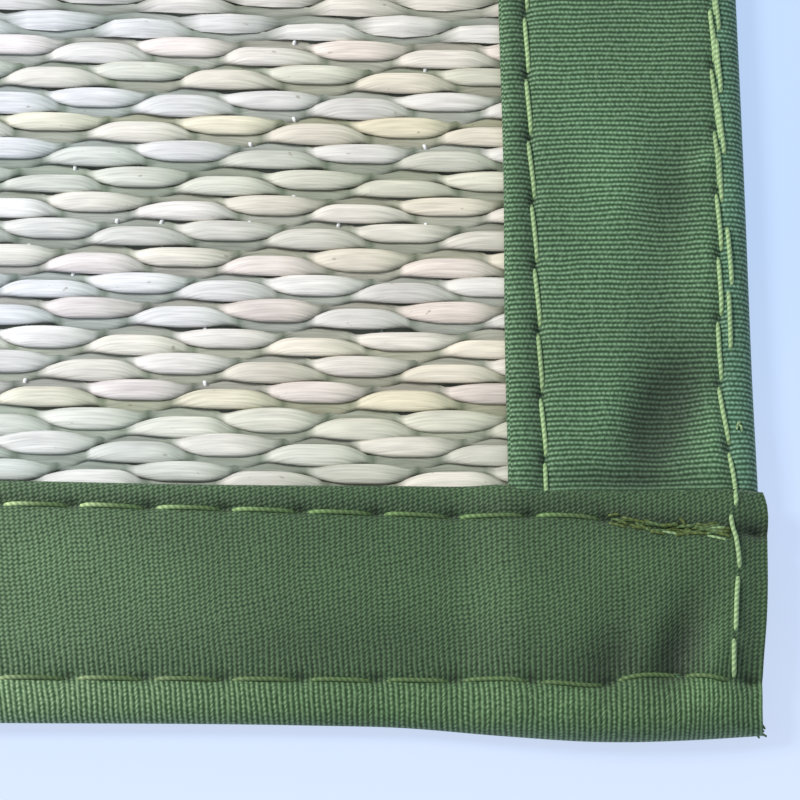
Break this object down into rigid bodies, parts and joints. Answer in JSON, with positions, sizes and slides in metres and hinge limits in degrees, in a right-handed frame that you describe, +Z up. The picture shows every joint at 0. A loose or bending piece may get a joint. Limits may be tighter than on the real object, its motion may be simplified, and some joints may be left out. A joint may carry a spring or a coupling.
{
  "type": "woven mat",
  "caption": "Flat rectangular mat of pale reeds woven over thin warps, its edges held in folded and stitched green cloth bindings.",
  "frame": {"origin": "on the surface that the mat lies on, under the middle of its outline", "axes": "+X along the reeds, +Y along the warps and away from the front end, +Z up"},
  "size_m": [0.4, 0.6, 0.0062],
  "materials": {
    "reed": "satin, dry plant fibre",
    "binding_cloth": "matte plain weave",
    "thread": "matte twisted thread"
  },
  "bodies": {
    "root": {"woven_panel": "reed", "side_binding_right": "binding_cloth", "side_binding_left": "binding_cloth", "end_binding_front": "binding_cloth", "end_binding_back": "binding_cloth"}
  },
  "joints": []
}
